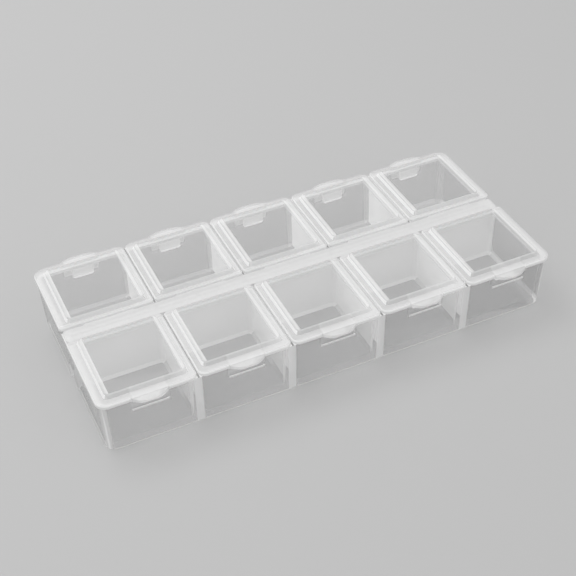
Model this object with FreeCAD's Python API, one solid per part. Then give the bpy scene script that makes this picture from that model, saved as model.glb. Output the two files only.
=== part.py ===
import FreeCAD, Part
import math
import os

os.makedirs("parts", exist_ok=True)

# Bead organizer: one moulded tray with two rows of pockets, a spine clipped along its middle,
# and a lid over every pocket that swings on its own film hinge. Millimetres, +Z up, origin at
# the middle of the underside, +X along the rows, the front row on the -Y side.

# Layout of the lids
lids_per_row = 5
lid_pitch = 25.75
end_margin = 0.625
lid_gap = 0.45
row_reach = 29.4

# Tray
tray_height = 16.3
floor_thick = 1.2
rim_wall = 1.4
rim_overhang = 0.5
end_overhang = 0.3
side_draft = 0.8
end_draft = 0.5
tray_corner = 3.4
foot_bevel = 0.7
divider_thick = 1.5
divider_draft = 0.4
centre_wall_span = 6.2
centre_draft = 0.2
pocket_corner = 1.6
pocket_floor_bevel = 0.8

# Hollow middle wall between the two rows
groove_mouth = 3.0
groove_crown = 1.8
groove_web = 1.4
slot_depth = 2.5
notch_height = 8.0
notch_flare = 1.6

# Spine
spine_width = 4.66
spine_rise = 0.34
spine_thick = 1.24
spine_inset = 0.55
spine_corner = 0.9
leg_thick = 0.85
leg_clear = 0.1
leg_floor_gap = 0.15
leg_lead = 0.3

# Film hinges
hinge_gap = 0.45
film_thick = 0.24
film_length = 14.0
film_waist = 0.14

# Lid
seat_gap = 0.1
flange_thick = 1.0
edge_bevel = 0.3
outer_corner = 2.0
end_corner = 3.0
hinge_corner = 1.0
panel_rise = 1.2
panel_side_inset = 1.5
panel_outer_inset = 2.1
panel_hinge_inset = 0.95
panel_slant = 0.5
panel_corner = 1.5
panel_bevel = 0.25
dome_wall = 1.1
dome_roof = 0.85

# Thumb lip on each lid
lip_reach = 1.9
lip_root = 10.0
lip_droop = 0.35
lip_thick = 0.8
lip_sag_share = 0.25

# Thumb recess: a shallow cut in the tray's outer face under each lip
recess_width = 10.4
recess_depth = 0.75
recess_drop = 3.45
recess_corner = 0.9

# Latch: a tongue under each lid, inside its pocket, with a barb that clicks past a ridge
tongue_width = 6.1
tongue_thick = 0.8
tongue_drop = 3.2
tongue_clear = 0.45
tongue_corner = 0.7
catch_length = 4.4
catch_height = 0.5
barb_height = 0.65
barb_stand = 0.08
ridge_spacing = 1.0
ridge_stand = 0.255

# How far cuts run past the plastic, and how level an edge must lie to be picked
overrun = 5.0
level_tolerance = 0.002

# Places that follow from the sizes
row_length = lids_per_row * lid_pitch
half_length = row_length / 2 + end_margin
lid_low = tray_height + seat_gap
lid_top = lid_low + flange_thick
panel_top = lid_top + panel_rise
spine_top = lid_low + spine_rise
spine_low = spine_top - spine_thick
film_low = spine_top - film_thick
hinge_edge = spine_width / 2 + hinge_gap
rim_y = row_reach - rim_overhang
rim_x = half_length - end_overhang
foot_y = rim_y - side_draft
foot_x = rim_x - end_draft
recess_back = rim_y - recess_depth
recess_low = tray_height - recess_drop
wall_inside = rim_y - rim_wall
tongue_outer = wall_inside - tongue_clear
tongue_inner = tongue_outer - tongue_thick
tongue_low = lid_low - tongue_drop
barb_z = tongue_low + barb_height
ridge_z = barb_z + ridge_spacing
slot_half = spine_width / 2 - leg_thick + leg_clear
slot_floor = spine_low - slot_depth
groove_height = slot_floor - groove_web


def gap_line(number):
    """Middle of the gap after that many lids, counted from the left end of a row."""
    return (number - lids_per_row / 2) * lid_pitch


def lid_middle(number):
    return (gap_line(number) + gap_line(number + 1)) / 2


def rounded_outline(x_low, x_high, y_low, y_high, z, radii):
    """Closed level outline; its corner radii go round from the low X, low Y corner."""
    corners = [(x_low, y_low), (x_high, y_low), (x_high, y_high), (x_low, y_high)]
    inward = [(1, 1), (-1, 1), (-1, -1), (1, -1)]
    diagonal = 1 - math.sqrt(1 / 2)
    arcs = []
    for (x, y), (side_x, side_y), radius in zip(corners, inward, radii):
        along_x = FreeCAD.Vector(x + side_x * radius, y, z)
        along_y = FreeCAD.Vector(x, y + side_y * radius, z)
        middle = FreeCAD.Vector(x + side_x * radius * diagonal, y + side_y * radius * diagonal, z)
        ends = [along_y, along_x] if side_x == side_y else [along_x, along_y]
        arcs.append(Part.Arc(ends[0], middle, ends[1]).toShape())
    edges = []
    for arc, following in zip(arcs, arcs[1:] + arcs[:1]):
        edges.append(arc)
        start = arc.valueAt(arc.LastParameter)
        edges.append(Part.makeLine(start, following.valueAt(following.FirstParameter)))
    return Part.Wire(edges)


def drafted_block(low, high):
    """Block between two level rectangles, each (x_low, x_high, y_low, y_high, z)."""
    rings = []
    for x_low, x_high, y_low, y_high, z in (low, high):
        plan = [(x_low, y_low), (x_high, y_low), (x_high, y_high), (x_low, y_high)]
        rings.append([FreeCAD.Vector(x, y, z) for x, y in plan])
    foot, rim = rings
    outlines = [foot[::-1], rim]
    for here, there in ((0, 1), (1, 2), (2, 3), (3, 0)):
        outlines.append([foot[here], foot[there], rim[there], rim[here]])
    faces = [Part.Face(Part.makePolygon(points + points[:1])) for points in outlines]
    return Part.Solid(Part.Shell(faces))


def round_uprights(block, radius):
    upright = []
    for edge in block.Edges:
        limits = edge.BoundBox
        if limits.ZLength > max(limits.XLength, limits.YLength):
            upright.append(edge)
    return block.makeFillet(radius, upright)


def beyond(low, high, extra):
    """The upper rectangle moved up by extra, along the drafted sides."""
    share = 1 + extra / (high[-1] - low[-1])
    return tuple(start + (end - start) * share for start, end in zip(low, high))


def box(x_low, x_high, y_low, y_high, z_low, z_high):
    corner = FreeCAD.Vector(x_low, y_low, z_low)
    return Part.makeBox(x_high - x_low, y_high - y_low, z_high - z_low, corner)


def prism_along_x(points, x_low, x_high):
    """Solid whose YZ outline runs through the points, from one X to another."""
    corners = [FreeCAD.Vector(x_low, y, z) for y, z in points]
    face = Part.Face(Part.makePolygon(corners + corners[:1]))
    return face.extrude(FreeCAD.Vector(x_high - x_low, 0, 0))


def catch_wedge(number, wall, tip, z):
    """Wedge on an upright wall, in the middle of a lid's width: the latch's barb or its ridge."""
    outline = [(wall, z - catch_height / 2), (tip, z), (wall, z + catch_height / 2)]
    start = lid_middle(number) - catch_length / 2
    return prism_along_x(outline, start, start + catch_length)


def edges_at(shape, z):
    """Edges of the shape that lie level at one height."""
    found = []
    for edge in shape.Edges:
        limits = edge.BoundBox
        if max(abs(limits.ZMin - z), abs(limits.ZMax - z)) < level_tolerance:
            found.append(edge)
    return found


def lower_edges(block):
    """The two lower edges of an upright block that run along Y."""
    found = []
    for edge in block.Edges:
        limits = edge.BoundBox
        if limits.YLength > limits.XLength + limits.ZLength and limits.ZMax < tray_height:
            found.append(edge)
    return found


def front_copy(solid):
    """The same piece in the front row."""
    return solid.mirror(FreeCAD.Vector(0, 0, 0), FreeCAD.Vector(0, 1, 0))


def tray_block():
    """Outside of the tray, drafted towards the foot."""
    foot = (-foot_x, foot_x, -foot_y, foot_y, 0)
    rim = (-rim_x, rim_x, -rim_y, rim_y, tray_height)
    block = round_uprights(drafted_block(foot, rim), tray_corner)
    return block.makeChamfer(foot_bevel, edges_at(block, 0))


def pocket(number):
    """Room for beads in the back row, open above; its sides are drafted as the mould's are."""
    half = divider_thick / 2
    left = -rim_x + rim_wall if number == 0 else gap_line(number) + half
    right = rim_x - rim_wall if number == lids_per_row - 1 else gap_line(number + 1) - half
    near = centre_wall_span / 2
    far = rim_y - rim_wall
    left_draft = end_draft if number == 0 else divider_draft
    right_draft = end_draft if number == lids_per_row - 1 else divider_draft
    floor = (left + left_draft, right - right_draft, near + centre_draft, far - side_draft, floor_thick)
    mouth = (left, right, near, far, tray_height)
    room = round_uprights(drafted_block(floor, beyond(floor, mouth, overrun)), pocket_corner)
    return room.makeChamfer(pocket_floor_bevel, edges_at(room, floor_thick))


def thumb_recess(number):
    """Cut in the back rim's outer face under a lid's lip, with rounded lower corners."""
    middle = lid_middle(number)
    half = recess_width / 2
    cut = box(middle - half, middle + half, recess_back, rim_y + overrun, recess_low,
              tray_height + overrun)
    return cut.makeFillet(recess_corner, lower_edges(cut))


def trapezium(x, half_low, half_high, z_high):
    corners = [(-half_low, 0), (half_low, 0), (half_high, z_high), (-half_high, z_high)]
    points = [FreeCAD.Vector(x, y, z) for y, z in corners]
    return Part.makePolygon(points + points[:1])


def notch_flare_cut(side):
    """Splay of a notch's two upright edges at one end wall."""
    mouth = groove_mouth / 2
    crown = groove_crown / 2
    inside = trapezium(side * (foot_x - notch_flare), mouth, crown, notch_height)
    outside = trapezium(side * (rim_x + notch_flare), mouth + 2 * notch_flare, crown, notch_height)
    return Part.makeLoft([inside, outside], True, True)


def middle_cuts():
    """Groove under the middle wall, its notches in the end walls, and the spine's slot."""
    mouth = groove_mouth / 2
    crown = groove_crown / 2
    inner_end = rim_x - end_draft - rim_wall
    outer_end = rim_x + overrun
    above = tray_height + overrun
    section = [(-mouth, 0), (mouth, 0), (crown, groove_height), (-crown, groove_height)]
    groove = prism_along_x(section, -inner_end, inner_end)
    top = mouth + (crown - mouth) * notch_height / groove_height
    notch_section = [(-mouth, 0), (mouth, 0), (top, notch_height), (-top, notch_height)]
    notch = prism_along_x(notch_section, -outer_end, outer_end)
    slot = box(-inner_end, inner_end, -slot_half, slot_half, slot_floor, above)
    seat = box(-outer_end, outer_end, -centre_wall_span / 2, centre_wall_span / 2, spine_low, above)
    cuts = [groove, notch, slot, seat]
    for side in (-1, 1):
        cuts.append(notch_flare_cut(side))
    return cuts


def tray():
    block = tray_block()
    ridges = []
    for number in range(lids_per_row):
        room = pocket(number)
        recess = thumb_recess(number)
        block = block.cut([room, front_copy(room), recess, front_copy(recess)])
        ridge = catch_wedge(number, wall_inside, wall_inside - ridge_stand, ridge_z)
        ridges += [ridge, front_copy(ridge)]
    block = block.cut(middle_cuts())
    block = block.fuse(ridges)
    return block.removeSplitter()


def spine():
    """Channel section that carries the film hinges, with two legs in the tray's slot."""
    half = spine_width / 2
    outer = slot_half - leg_clear
    inner = outer - leg_thick
    leg_low = slot_floor + leg_floor_gap
    side = [(half, spine_top), (half, spine_low), (outer, spine_low), (outer, leg_low + leg_lead),
            (outer - leg_lead, leg_low), (inner, leg_low), (inner, spine_low)]
    section = side + [(-y, z) for y, z in reversed(side)]
    end = half_length - spine_inset
    bar = prism_along_x(section, -end, end)
    leg_end = rim_x - end_draft - rim_wall - leg_clear
    plate_plan = rounded_outline(-end, end, -half, half, spine_low, [spine_corner] * 4)
    plate = Part.Face(plate_plan).extrude(FreeCAD.Vector(0, 0, spine_thick))
    legs = box(-leg_end, leg_end, -half, half, leg_low, spine_low)
    return bar.common(plate.fuse(legs)).removeSplitter()


def film(number):
    """Thin waisted web from the spine to a lid of the back row."""
    start = lid_middle(number) - film_length / 2
    near = spine_width / 2
    halfway = (near + hinge_edge) / 2
    height = film_low + film_thick / 2
    section = [(near, film_low), (halfway, height - film_waist / 2), (hinge_edge, film_low),
               (hinge_edge, spine_top), (halfway, height + film_waist / 2), (near, spine_top)]
    return prism_along_x(section, start, start + film_length)


def thumb_lip(number):
    """Drooping tab: a curved side profile kept within a plan that ends in one round arc."""
    middle = lid_middle(number)
    half_root = lip_root / 2
    tip = row_reach + lip_reach
    root = row_reach - outer_corner
    depth = flange_thick + lip_droop + lip_thick
    low = lid_top - depth
    left = FreeCAD.Vector(middle - half_root, row_reach, low)
    right = FreeCAD.Vector(middle + half_root, row_reach, low)
    back_left = FreeCAD.Vector(middle - half_root, root, low)
    back_right = FreeCAD.Vector(middle + half_root, root, low)
    outline = [
        Part.makeLine(left, back_left),
        Part.makeLine(back_left, back_right),
        Part.makeLine(back_right, right),
        Part.Arc(right, FreeCAD.Vector(middle, tip, low), left).toShape(),
    ]
    plan = Part.Face(Part.Wire(outline)).extrude(FreeCAD.Vector(0, 0, depth))

    nose = lip_thick / 2
    bend = row_reach - edge_bevel
    halfway = (bend + tip - nose) / 2
    tip_top = lid_top - lip_droop
    tip_low = tip_top - lip_thick
    sag = lip_droop * lip_sag_share
    rise = (lid_low - tip_low) * lip_sag_share

    def at(y, z):
        return FreeCAD.Vector(middle - half_root, y, z)

    side = [
        Part.makeLine(at(root, lid_low), at(root, lid_top)),
        Part.makeLine(at(root, lid_top), at(bend, lid_top)),
        Part.Arc(at(bend, lid_top), at(halfway, lid_top - sag), at(tip - nose, tip_top)).toShape(),
        Part.Arc(at(tip - nose, tip_top), at(tip, tip_top - nose), at(tip - nose, tip_low)).toShape(),
        Part.Arc(at(tip - nose, tip_low), at(halfway, lid_low - rise), at(bend, lid_low)).toShape(),
        Part.makeLine(at(bend, lid_low), at(root, lid_low)),
    ]
    tab = Part.Face(Part.Wire(side)).extrude(FreeCAD.Vector(lip_root, 0, 0))
    return tab.common(plan)


def latch_tongue(number):
    """Tongue under the panel's edge, rounded at its lower corners, with its barb outside."""
    middle = lid_middle(number)
    half = tongue_width / 2
    root = lid_low + flange_thick / 2
    tongue = box(middle - half, middle + half, tongue_inner, tongue_outer, tongue_low, root)
    tongue = tongue.makeFillet(tongue_corner, lower_edges(tongue))
    return tongue.fuse(catch_wedge(number, tongue_outer, tongue_outer + barb_stand, barb_z))


def panel_level(number, z, inset):
    """Rectangle at one height that stays inside a lid's raised panel by an inset."""
    left = gap_line(number) + lid_gap / 2 + panel_side_inset
    right = gap_line(number + 1) - lid_gap / 2 - panel_side_inset
    near = hinge_edge + panel_hinge_inset
    far = row_reach - panel_outer_inset
    return (left + inset, right - inset, near + inset, far - inset, z)


def lid(number):
    """Lid of the back row with its raised hollow panel, thumb lip and latch tongue."""
    left = gap_line(number) + lid_gap / 2
    right = gap_line(number + 1) - lid_gap / 2
    radii = [hinge_corner, hinge_corner, outer_corner, outer_corner]
    if number == 0:
        left = -half_length
        radii[3] = end_corner
    if number == lids_per_row - 1:
        right = half_length
        radii[2] = end_corner
    plan = rounded_outline(left, right, hinge_edge, row_reach, lid_low, radii)
    flange = Part.Face(plan).extrude(FreeCAD.Vector(0, 0, flange_thick))
    flange = flange.makeChamfer(edge_bevel, edges_at(flange, lid_top))
    panel = drafted_block(panel_level(number, lid_top, 0), panel_level(number, panel_top, panel_slant))
    panel = round_uprights(panel, panel_corner)
    panel = panel.makeChamfer(panel_bevel, edges_at(panel, panel_top))
    hollow = drafted_block(panel_level(number, lid_low, dome_wall),
                           panel_level(number, panel_top - dome_roof, dome_wall + panel_slant))
    whole = flange.fuse([panel, thumb_lip(number), latch_tongue(number)])
    return whole.cut(hollow).removeSplitter()


pieces = {"tray": tray(), "centre_strip": spine()}
for number in range(lids_per_row):
    web = film(number)
    cover = lid(number)
    pieces["hinge_film_back_%d" % (number + 1)] = web
    pieces["hinge_film_front_%d" % (number + 1)] = front_copy(web)
    pieces["lid_back_%d" % (number + 1)] = cover
    pieces["lid_front_%d" % (number + 1)] = front_copy(cover)

for name, solid in pieces.items():
    solid.exportStep("parts/%s.step" % name)
    print(name, solid.isValid(), len(solid.Solids), round(solid.Volume, 2))
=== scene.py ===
import bpy
import math
from mathutils import Matrix, Vector


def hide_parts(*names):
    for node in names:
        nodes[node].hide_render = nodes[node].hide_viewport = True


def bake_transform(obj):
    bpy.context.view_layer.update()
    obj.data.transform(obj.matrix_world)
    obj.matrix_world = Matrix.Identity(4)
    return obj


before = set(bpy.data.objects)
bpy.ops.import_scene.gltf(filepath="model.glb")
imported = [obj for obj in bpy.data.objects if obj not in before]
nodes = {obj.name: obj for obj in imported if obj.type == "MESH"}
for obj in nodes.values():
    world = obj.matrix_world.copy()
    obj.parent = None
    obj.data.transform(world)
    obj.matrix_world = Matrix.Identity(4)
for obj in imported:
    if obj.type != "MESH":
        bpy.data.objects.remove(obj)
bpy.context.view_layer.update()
mm = 0.001
lidPitch = 25.75 * mm       # from one lid to the next
lidsPerRow = 5


# One socket of a shader. Sums and products of sockets add the Math nodes for them.
class Wire:
    def __init__(self, tree, socket=None):
        self.tree = tree
        self.socket = socket

    def make(self, kind, settings=None, values=None, output=0):
        made = self.tree.nodes.new(kind)
        for key, setting in (settings or {}).items():
            setattr(made, key, setting)
        for key, value in (values or {}).items():
            if isinstance(value, Wire):
                self.tree.links.new(value.socket, made.inputs[key])
            else:
                made.inputs[key].default_value = value
        return Wire(self.tree, made.outputs[output])

    def maths(self, operation, first, second=0.0):
        return self.make("ShaderNodeMath", {"operation": operation}, {0: first, 1: second})

    def __add__(self, other):
        return self.maths("ADD", self, other)

    def __radd__(self, other):
        return self.maths("ADD", other, self)

    def __sub__(self, other):
        return self.maths("SUBTRACT", self, other)

    def __rsub__(self, other):
        return self.maths("SUBTRACT", other, self)

    def __mul__(self, other):
        return self.maths("MULTIPLY", self, other)

    def __rmul__(self, other):
        return self.maths("MULTIPLY", other, self)

    def __abs__(self):
        return self.maths("ABSOLUTE", self)

    def most(self, other):
        return self.maths("MAXIMUM", self, other)

    def least(self, other):
        return self.maths("MINIMUM", self, other)

    def rise(self, low, high):      # 0 below low, 1 above high, smooth between
        return self.make("ShaderNodeMapRange", {"interpolation_type": "SMOOTHSTEP"},
                         {"Value": self, "From Min": low, "From Max": high})

    def fall(self, low, high):      # 1 below low, 0 above high
        return 1 - self.rise(low, high)

    def within(self, low, high, soft):
        return self.rise(low - soft, low) * self.fall(high, high + soft)

    def wrapped(self, pitch):       # the same value in every lid, 0 at its middle
        return self.make("ShaderNodeMath", {"operation": "WRAP"},
                         {0: self, 1: pitch / 2, 2: -pitch / 2})


# What all the milky plastics share
milky = {
    "lightPassed": 0.68,        # share of a face's shade that it fills with passed light
    "roughness": 0.22,
    "index": 1.7,
    "bump": 0.15,
    "bumpHeight": 0.4 * mm,
    "cloudScale": 55.0,         # broad milky patches
    "cloudDetail": 3.0,
    "cloudTint": 0.12,          # how far the patches change the tint, the clearness and the gloss
    "cloudAlpha": 0.05,
    "cloudGloss": 0.16,
    "grainScale": 1400.0,       # fine unevenness
    "grainDetail": 2.0,
    "grainShare": 0.02,
}


def startMaterial(name):
    material = bpy.data.materials.new(name)
    material.use_nodes = True
    start = Wire(material.node_tree)
    return material, start, start.make("ShaderNodeTexCoord", output="Object")


def axes(start, vector):
    return [start.make("ShaderNodeSeparateXYZ", {}, {0: vector}, output=axis) for axis in range(3)]


def leanings(start):        # how far a face looks along each axis, to either side
    normal = start.make("ShaderNodeTexCoord", output="Normal")
    return [abs(part) for part in axes(start, normal)]


def noise(start, place, scale, detail):
    return start.make("ShaderNodeTexNoise", {}, {"Vector": place, "Scale": scale, "Detail": detail},
                      output="Fac")


def mixColours(start, factor, first, second):       # 6, 7 and 2 are the node's colour sockets
    return start.make("ShaderNodeMix", {"data_type": "RGBA"},
                      {"Factor": factor, 6: first, 7: second}, output=2)


def blendIn(alpha, value, mask):        # value where the mask is 1, alpha elsewhere
    return mask * (value - alpha) + alpha


def layered(alpha, layers):             # each layer lies over the ones before it
    for value, mask in layers:
        alpha = blendIn(alpha, value, mask)
    return alpha


def finishPlastic(start, place, looks, alpha, thick, glow, paintedShade=None):
    cloud = noise(start, place, milky["cloudScale"], milky["cloudDetail"])
    grain = noise(start, place, milky["grainScale"], milky["grainDetail"])
    patches = cloud - 0.5
    thin, full = (*looks["thin"], 1), (*looks["thick"], 1)
    tint = mixColours(start, (thick + patches * milky["cloudTint"]).most(0.0).least(1.0), thin, full)
    if paintedShade is not None:
        # painted shade: the mask darkens the tint towards the painted shade colour
        tint = mixColours(start, paintedShade, tint, (*looks["paintedShade"], 1))
    bump = start.make("ShaderNodeBump", {}, {
        "Strength": milky["bump"], "Distance": milky["bumpHeight"],
        "Height": cloud + grain * milky["grainShare"]}, output="Normal")
    shadowRay = start.make("ShaderNodeLightPath", output="Is Shadow Ray")
    diffuseRay = start.make("ShaderNodeLightPath", output="Is Diffuse Ray")
    passed = 1 - milky["lightPassed"] * shadowRay.most(diffuseRay)
    found = {
        "Base Color": tint,
        # painted glow: the emission stands in for light carried inside the plastic
        "Emission Color": mixColours(start, glow, (0, 0, 0, 1), full),
        "Alpha": (alpha + patches * milky["cloudAlpha"]).least(1.0) * passed,
        "Roughness": milky["roughness"] + patches * milky["cloudGloss"],
        "Normal": bump,
    }
    shader = start.tree.nodes["Principled BSDF"]
    for name, wire in found.items():
        start.tree.links.new(wire.socket, shader.inputs[name])
    shader.inputs["Emission Strength"].default_value = 1.0
    shader.inputs["IOR"].default_value = milky["index"]


tray = {
    "thin": (0.565, 0.565, 0.565),      # where the dark inside shows through
    "thick": (0.937, 0.937, 0.937),
    "paintedShade": (0.30, 0.30, 0.30),         # painted shade: the dark tint put into narrow grooves that light hardly reaches, and partly onto the end walls

    # How much of each kind of face is there
    "outerFace": 0.37,
    "outerInside": 0.27,                # the pocket's side of an outer wall
    "dividerFace": 0.80,
    "dividerBand": 0.85,                # a divider's end, seen on the outer face
    "besideDivider": 0.50,              # the rounded corner before it
    "innerCorner": 0.32,                # other corners inside the outer walls
    "corner": 0.72,
    "pocketFloor": 0.45,
    "floorSide": 0.60,
    "seam": 0.85,                       # where floor and middle wall meet
    "middleWall": 0.75,
    "rim": 0.92,
    # how clear the faces are that carry the painted groove shade
    "groove": 0.80,
    "recess": 0.14,
    "ledge": 0.75,
    "endWall": 0.50,
    "footEdge": 0.66,
    "flare": 0.85,                      # splayed edges of the notches in the end walls

    # Painted glow: emission standing in for light that thick plastic carries along inside
    "glow": 0.05,
    "dividerGlow": 0.10,
    "nearWallGlow": 0.24,               # dividers near the outer walls

    # Shares by which a mask counts for the tint, the painted shade or the painted glow
    "innerThick": 0.9,
    "innerCornerThin": 0.8,
    "cornerThick": 0.8,
    "floorSideThick": 0.6,
    # dims the painted highlight on the back corners
    "backCornerDim": 0.6,
    "besideGlow": 0.5,
    # share of painted shade that darkens the end walls
    "endShade": 0.45,

    # Places where kinds of faces meet: a mask starts at the first and is full at the second
    "outsideX": (63.70 * mm, 63.80 * mm),
    "outsideY": (27.75 * mm, 27.85 * mm),
    "farSide": (20.00 * mm, 20.05 * mm),
    "rowEnd": (60.00 * mm, 60.05 * mm),
    "middleSide": (3.6 * mm, 3.7 * mm),
    "backHalf": (0.0, 1.0 * mm),
    "rimLevel": (15.2 * mm, 15.4 * mm),
    "gapSide": (0.2 * mm, 0.3 * mm),
    "dividerWidth": (-1.3 * mm, 0.7 * mm, 0.2 * mm),
    "besideStart": (25.4 * mm, 25.8 * mm),
    "besideWidth": (-2.3 * mm, 0.0, 0.1 * mm),
    "floorBevel": (1.15 * mm, 2.10 * mm, 0.05 * mm),
    "seamLow": (1.2 * mm, 1.3 * mm),
    "seamSide": (4.5 * mm, 4.7 * mm),
    "floorSideEnd": (16 * mm, 22 * mm),
    "recessSide": (5.15 * mm, 5.25 * mm),
    "recessLow": (12.7 * mm, 12.8 * mm),
    "recessWall": (27.3 * mm, 28.2 * mm, 0.05 * mm),
    "recessBack": (28.1 * mm, 28.2 * mm),
    "ledgeHigh": (13.2 * mm, 13.4 * mm),
    "ledgeSide": (4.9 * mm, 5.1 * mm),
    "ledgeEdge": (12.45 * mm, 13.00 * mm, 0.05 * mm),
    "ledgeFront": (28.4 * mm, 28.5 * mm),
    "hingeSeatHigh": (15.8 * mm, 15.9 * mm),
    "hingeSeatSide": (2.25 * mm, 2.35 * mm),
    "hingeSeatEnd": (61.0 * mm, 62.5 * mm),
    "footHigh": (0.95 * mm, 1.10 * mm),
    "flareStart": (62.5 * mm, 62.6 * mm),
    "flareSide": (4.4 * mm, 4.5 * mm),
    "nearWall": (10 * mm, 26 * mm),

    # How far a face looks along an axis, given the same way
    "level": (0.80, 0.95),
    "square": (0.70, 0.80),
    "straight": (0.90, 0.95),
    "recessFacing": (0.80, 0.90),
    "cornerWide": (0.10, 0.30),
    "cornerCore": (0.35, 0.50),
    "bevelSlope": (0.50, 0.85, 0.05),
    "sideSlope": (0.50, 0.60),
    "flareAlong": (0.20, 0.85, 0.05),
    "flareAcross": (0.30, 0.40),
    "dividerFacing": (0.30, 0.50),
}


def trayPlastic():
    material, start, place = startMaterial("trayPlastic")
    x, y, z = axes(start, place)
    nx, ny, nz = leanings(start)
    awayX, awayY = abs(x), abs(y)
    rightOfGap = (x + lidPitch / 2).wrapped(lidPitch)       # 0 at every divider
    fromGap = abs(rightOfGap)
    fromMiddle = abs(x.wrapped(lidPitch))                   # 0 at every lid's middle
    backHalf = y.rise(*tray["backHalf"])
    rowInside = awayX.fall(*tray["rowEnd"])
    farSide = awayY.rise(*tray["farSide"])

    # Walls, dividers and the rim
    level = nz.rise(*tray["level"])
    upright = 1 - level
    outside = awayY.rise(*tray["outsideY"]).most(awayX.rise(*tray["outsideX"])) * upright
    outerInside = (ny.rise(*tray["square"]) * farSide).most(
        nx.rise(*tray["square"]) * awayX.rise(*tray["rowEnd"])) * upright
    middle = awayY.fall(*tray["middleSide"]) * upright
    rim = level * z.rise(*tray["rimLevel"])
    divider = rightOfGap.within(*tray["dividerWidth"]) * rowInside * outside

    # Corners: the clearer ones lie inside the outer walls; the outer ones are whiter, partly for the
    # thicker plastic and partly as a painted highlight, which is dimmed on the back half
    clearer = (1 - outside) * farSide * rowInside.most(backHalf)
    beside = (clearer * (1 - backHalf) * upright * awayY.rise(*tray["besideStart"])
              * rightOfGap.within(*tray["besideWidth"]))
    outerInside = outerInside * (1 - beside)
    beside = beside * nx.fall(*tray["straight"])
    innerCorner = (nx * ny).rise(*tray["cornerWide"]) * clearer * upright * (1 - beside)
    corner = ((nx * ny).rise(*tray["cornerCore"]) * (1 - tray["backCornerDim"] * backHalf)
              * (1 - clearer))

    # Round the pocket's floor
    floorBevel = nz.within(*tray["bevelSlope"]) * z.within(*tray["floorBevel"])
    seam = floorBevel * z.rise(*tray["seamLow"]) * awayY.fall(*tray["seamSide"])
    floorSide = floorBevel * awayY.fall(*tray["floorSideEnd"]) * nx.rise(*tray["sideSlope"])

    # Thumb recesses with their ledges
    inRecess = fromMiddle.fall(*tray["recessSide"]) * z.rise(*tray["recessLow"])
    thinWall = inRecess * awayY.within(*tray["recessWall"]) * ny.rise(*tray["recessFacing"])
    ledge = inRecess * awayY.rise(*tray["recessBack"]) * level * z.fall(*tray["ledgeHigh"])
    ledgeEdge = (fromMiddle.fall(*tray["ledgeSide"]) * z.within(*tray["ledgeEdge"])
                 * awayY.rise(*tray["ledgeFront"]))

    # Painted shade in the narrow gaps under the lids, on the hinge seat and on the ledges' tops; the
    # outside's lower edge and ends, where the end walls get some painted shade too
    underGap = rim * rowInside * fromGap.fall(*tray["gapSide"])
    underHinge = (rim * z.fall(*tray["hingeSeatHigh"]) * awayY.rise(*tray["hingeSeatSide"])
                  * awayX.fall(*tray["hingeSeatEnd"]))
    # painted shade: the gaps under the lids, the hinge seat and the ledge tops, but not the ledges'
    # front edges
    groove = underGap.most(underHinge).most(ledge * (1 - ledgeEdge))
    footEdge = outside * z.fall(*tray["footHigh"])
    endWall = outside * nx.rise(*tray["straight"]) * (1 - footEdge)
    flare = (awayX.rise(*tray["flareStart"]) * awayY.fall(*tray["flareSide"])
             * nx.within(*tray["flareAlong"]) * ny.rise(*tray["flareAcross"]))

    alpha = layered(tray["dividerFace"], [
        (tray["outerInside"], outerInside),
        (tray["pocketFloor"], level.most(floorBevel)),
        (tray["outerFace"], outside),
        (tray["middleWall"], middle),
        (tray["rim"], rim),
        (tray["dividerBand"], divider),
        (tray["corner"], corner),
        (tray["innerCorner"], innerCorner),
        (tray["besideDivider"], beside),
        (tray["floorSide"], floorSide),
        (tray["seam"], seam),
        (tray["recess"], thinWall),
        (tray["ledge"], ledge.most(ledgeEdge)),
        (tray["groove"], groove),
        (tray["footEdge"], footEdge),
        (tray["endWall"], endWall),
        (tray["flare"], flare),
    ])
    inner = (tray["innerThick"] * upright * (1 - outerInside) * (1 - outside) * (1 - floorBevel)
             * (1 - tray["innerCornerThin"] * innerCorner))
    thick = inner
    for mask in (rim, divider, tray["cornerThick"] * corner, seam, ledge, ledgeEdge, footEdge,
                 flare, tray["floorSideThick"] * floorSide):
        thick = thick.most(mask)
    nearWall = blendIn(tray["dividerGlow"], tray["nearWallGlow"], awayY.rise(*tray["nearWall"]))
    besideShare = tray["besideGlow"] * beside
    dividers = nx.rise(*tray["dividerFacing"]).most(besideShare) * (1 - besideShare)
    # painted glow, given out as emission, strongest on dividers near the outer walls
    glow = (tray["glow"] * inner).most(nearWall * inner * dividers)
    # the painted shade mask: full in the grooves, in part on the end walls
    finishPlastic(start, place, tray, alpha, thick, glow, groove.most(tray["endShade"] * endWall))
    return material


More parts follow.
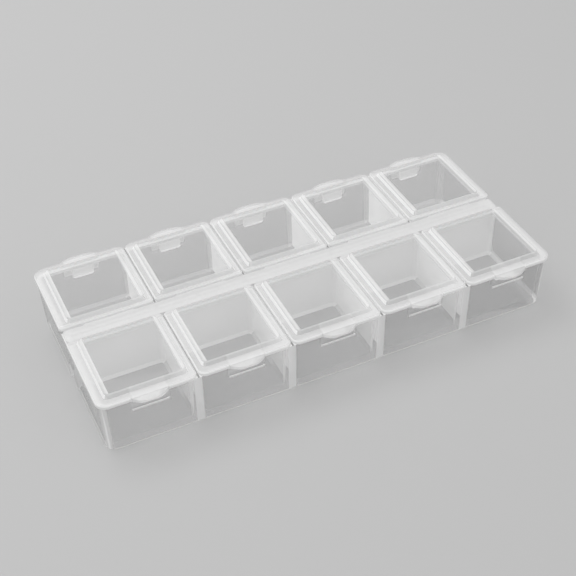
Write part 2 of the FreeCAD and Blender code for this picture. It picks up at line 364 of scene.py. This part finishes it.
lids = {
    "thin": (0.787, 0.787, 0.787),
    "thick": (0.947, 0.947, 0.947),

    # How much of each kind of face is there
    "window": 0.12,
    "overSide": 0.52,           # the panel's top over its side walls, which also gets a little painted glow
    "sideSlant": 0.85,          # the panel's slanted sides
    "endSlant": 0.40,
    "hingeSlant": 0.70,
    "hollowSide": 0.30,
    "flange": 0.42,
    "hingeSide": 0.62,
    "edge": 0.75,
    "lip": 0.33,
    "lipRoot": 0.62,
    "tongue": 0.45,
    "tongueEnd": 0.85,

    # Painted glow: emission standing in for light that thick plastic carries along inside
    "sideGlow": 0.11,
    "overGlow": 0.04,
    "tongueGlow": 0.16,
    "tongueRootShare": 0.35,
    "flangeThick": 0.45,

    # Places where kinds of faces meet: a mask starts at the first and is full at the second
    "panelLow": (17.42 * mm, 17.50 * mm),
    "hollowTop": (17.80 * mm, 17.85 * mm),
    "hollow": (4.0 * mm, 27.0 * mm, 0.1 * mm),
    "overSideStart": (9.4 * mm, 9.7 * mm),
    "hingeSideEnd": (3.7 * mm, 4.0 * mm),
    "hingeSlantEnd": (5.3 * mm, 5.5 * mm),
    "lipStart": (29.4 * mm, 29.5 * mm),
    "lipRootWidth": (4.2 * mm, 5.0 * mm),
    "lipRootStart": (26.2 * mm, 26.4 * mm),
    "lipRootLow": (16.9 * mm, 17.0 * mm),
    "tongueTop": (16.30 * mm, 16.38 * mm),
    "tongueEndTop": (13.6 * mm, 13.9 * mm),

    # How far a face looks along an axis, given the same way
    "level": (0.80, 0.95),
    "bevelSlope": (0.62, 0.80, 0.05),
    "sideways": (0.60, 0.75),
}


def lidPlastic():
    material, start, place = startMaterial("lidPlastic")
    x, y, z = axes(start, place)
    nx, ny, nz = leanings(start)
    awayY = abs(y)
    fromMiddle = abs(x.wrapped(lidPitch))
    level = nz.rise(*lids["level"])
    upright = 1 - level
    bevel = nz.within(*lids["bevelSlope"])
    sideways = nx.rise(*lids["sideways"])

    # The raised panel with the hollow under it
    panel = z.rise(*lids["panelLow"])
    window = panel * level
    slanted = panel * upright
    overSide = window * fromMiddle.rise(*lids["overSideStart"])
    hingeSlant = awayY.fall(*lids["hingeSlantEnd"]) * upright * ny.rise(*lids["sideways"])

    # Thumb lip and latch tongue
    lip = awayY.rise(*lids["lipStart"])
    lipRoot = (fromMiddle.fall(*lids["lipRootWidth"]) * awayY.rise(*lids["lipRootStart"]) * (1 - lip)
               * z.rise(*lids["lipRootLow"]))
    tongue = z.fall(*lids["tongueTop"])
    tongueEnd = z.fall(*lids["tongueEndTop"])
    hollowSide = (awayY.within(*lids["hollow"]) * upright * z.fall(*lids["hollowTop"])
                  * (1 - lip))

    alpha = layered(lids["hingeSide"], [
        (lids["flange"], awayY.rise(*lids["hingeSideEnd"])),
        (lids["edge"], upright * (1 - panel)),
        (lids["hollowSide"], hollowSide),
        (blendIn(lids["endSlant"], lids["sideSlant"], sideways), slanted),
        (lids["lipRoot"], lipRoot),
        (lids["hingeSlant"], hingeSlant),
        (lids["window"], window),
        (lids["overSide"], overSide),
        (lids["edge"], bevel),
        (lids["lip"], lip),
        (lids["tongue"], tongue),
        (lids["tongueEnd"], tongueEnd),
    ])
    thick = (upright.most(lids["flangeThick"]).most(bevel).most(lip) * (1 - window)).most(overSide)
    root = lids["tongueRootShare"]
    # painted glow on the slanted sides, over the side walls and on the tongue
    glow = (lids["sideGlow"] * sideways * slanted).most(lids["overGlow"] * overSide).most(
        lids["tongueGlow"] * tongue * (root + (1 - root) * tongueEnd))
    finishPlastic(start, place, lids, alpha, thick, glow)
    return material


spine = {
    "thin": lids["thin"],
    "thick": lids["thick"],
    "face": 0.62,
    "thickness": 0.6,
    "flowStretch": (0.05, 1.0, 1.0),        # faint streaks along the moulding
    "flowScale": 900.0,
    "flowDetail": 2.0,
    "flowAlpha": 0.04,
    "flowTint": 0.15,
}


def spinePlastic():
    material, start, place = startMaterial("spinePlastic")
    stretched = start.make("ShaderNodeMapping", {}, {"Vector": place, "Scale": spine["flowStretch"]})
    streaks = noise(start, stretched, spine["flowScale"], spine["flowDetail"]) - 0.5
    finishPlastic(start, place, spine, spine["face"] + spine["flowAlpha"] * streaks,
                  spine["thickness"] + spine["flowTint"] * streaks, 0.0)
    return material


trayFinish = trayPlastic()
lidFinish = lidPlastic()
spineFinish = spinePlastic()
for name, node in nodes.items():
    node.data.materials.clear()
    if name.startswith("lid"):
        node.data.materials.append(lidFinish)
    else:
        node.data.materials.append(trayFinish if name == "tray" else spineFinish)
print("materials set")


film = {
    "length": 14.0 * mm,
    "near": 2.31 * mm,          # a hair inside the spine, so that no slit shows
    "far": 2.80 * mm,           # and inside the lid
    "level": 16.62 * mm,        # middle of its height
    "thick": 0.24 * mm,
    "waist": 0.12 * mm,
    "rows": 8,                  # strips across the fold
}


def addFilm(name, middle, side):
    span = film["far"] - film["near"]
    centre = (film["far"] + film["near"]) / 2
    bpy.ops.object.select_all(action="DESELECT")
    bpy.ops.mesh.primitive_cube_add(size=1, location=(middle, side * centre, film["level"]))
    piece = bpy.context.object
    piece.name = name
    piece.scale = (film["length"], span, film["thick"])
    bpy.ops.object.transform_apply(location=True, rotation=True, scale=True)
    bpy.ops.object.mode_set(mode="EDIT")
    for row in range(1, film["rows"]):
        bpy.ops.mesh.select_all(action="SELECT")
        cut = side * (film["near"] + span * row / film["rows"])
        bpy.ops.mesh.bisect(plane_co=(0, cut, 0), plane_no=(0, 1, 0))
    bpy.ops.object.mode_set(mode="OBJECT")
    for vertex in piece.data.vertices:      # thinnest half way, where it folds
        across = min(1.0, abs(abs(vertex.co.y) - centre) / (span / 2))
        share = (film["waist"] + (film["thick"] - film["waist"]) * across ** 2) / film["thick"]
        vertex.co.z = film["level"] + (vertex.co.z - film["level"]) * share
    piece.data.materials.append(lidFinish)
    return piece


for row, side in (("back", 1), ("front", -1)):
    for number in range(1, lidsPerRow + 1):
        middle = (number - (lidsPerRow + 1) / 2) * lidPitch
        piece = addFilm("film_%s_%d" % (row, number), middle, side)
        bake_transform(piece)
        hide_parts("hinge_film_%s_%d" % (row, number))
print("film hinges made")


cameraView = {
    "place": (-102.286 * mm, -234.167 * mm, 223.824 * mm),
    "azimuth": 23.342,       # degrees, 0 looks along +Y
    "elevation": 40.068,
    "roll": -2.288,
    "lens": 75.006,
    "sensorWidth": 36.0,
    "clipStart": 0.01,
}

studio = {
    "floorSize": 6.0,
    "floorColour": (0.56, 0.56, 0.56, 1.0),
    "floorRoughness": 0.85,
    "worldColour": (1, 1, 1, 1),
    "worldStrength": 0.56,
    "clearLayers": 32,       # clear faces that a ray may pass
    "lamps": [       # name, place, target, width and depth, watts
        ("keySoftbox", (-0.24, 0.36, 0.80), (0, 0, 0), (0.7, 0.5), 3.6),
        ("frontFill", (0.40, -0.78, 0.62), (0, 0, 0), (1.0, 0.6), 1.15),
        ("sideStrip", (-0.80, -0.10, 0.50), (0, 0, 0), (0.12, 0.9), 0.35),
    ],
}


def aim(direction, roll=0.0):
    turn = direction.to_track_quat("-Z", "Y").to_matrix()
    return (turn @ Matrix.Rotation(math.radians(roll), 3, "Z")).to_euler()


def addCamera():
    azimuth, elevation = math.radians(cameraView["azimuth"]), math.radians(cameraView["elevation"])
    level = math.cos(elevation)
    ahead = Vector((math.sin(azimuth) * level, math.cos(azimuth) * level, -math.sin(elevation)))
    bpy.ops.object.camera_add(location=cameraView["place"], rotation=aim(ahead, cameraView["roll"]))
    camera = bpy.context.object
    camera.name = "viewCamera"
    camera.data.lens = cameraView["lens"]
    camera.data.sensor_width = cameraView["sensorWidth"]
    camera.data.clip_start = cameraView["clipStart"]
    bpy.context.scene.camera = camera


def addLamps():
    for name, place, target, size, power in studio["lamps"]:
        direction = Vector(target) - Vector(place)
        bpy.ops.object.light_add(type="AREA", location=place, rotation=aim(direction))
        lamp = bpy.context.object
        lamp.name = name
        lamp.data.shape = "RECTANGLE"
        lamp.data.size, lamp.data.size_y = size
        lamp.data.energy = power


def addSurroundings():
    world = bpy.data.worlds.new("studioWorld")
    bpy.context.scene.world = world
    world.use_nodes = True
    background = world.node_tree.nodes["Background"]
    background.inputs["Color"].default_value = studio["worldColour"]
    background.inputs["Strength"].default_value = studio["worldStrength"]

    bpy.ops.mesh.primitive_plane_add(size=studio["floorSize"], location=(0, 0, 0))
    floor = bpy.context.object
    floor.name = "floor"
    floorPaint = bpy.data.materials.new("floorPaint")
    floorPaint.use_nodes = True
    floorShader = floorPaint.node_tree.nodes["Principled BSDF"]
    floorShader.inputs["Base Color"].default_value = studio["floorColour"]
    floorShader.inputs["Roughness"].default_value = studio["floorRoughness"]
    floor.data.materials.append(floorPaint)


addCamera()
addLamps()
addSurroundings()
bpy.context.scene.view_settings.view_transform = "Standard"
bpy.context.scene.cycles.transparent_max_bounces = studio["clearLayers"]
print("studio set")
